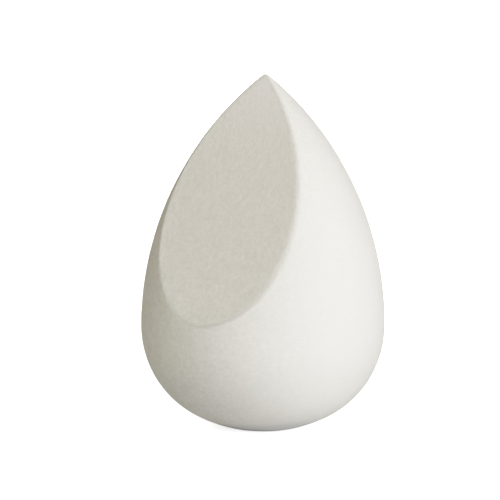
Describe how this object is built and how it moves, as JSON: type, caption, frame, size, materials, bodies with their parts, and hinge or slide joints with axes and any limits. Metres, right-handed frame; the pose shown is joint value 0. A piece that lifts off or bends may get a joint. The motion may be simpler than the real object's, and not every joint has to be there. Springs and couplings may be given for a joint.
{
  "type": "makeup sponge",
  "caption": "Teardrop blending sponge of soft fine-cell foam, with a rounded bottom, a soft pointed tip and a flat slanted face on one side.",
  "frame": {"origin": "centre of the flat underneath, on the axis of the teardrop", "axes": "+Z from the flat up to the tip; the slanted face looks towards -Y and upwards, so the sponge is symmetric about the plane X = 0"},
  "size_m": [0.0412, 0.0412, 0.06],
  "materials": {
    "foam": "matt fine-cell polyurethane foam, off-white, with a slightly open velvety surface"
  },
  "bodies": {
    "root": {"foam_body": "foam"}
  },
  "joints": []
}
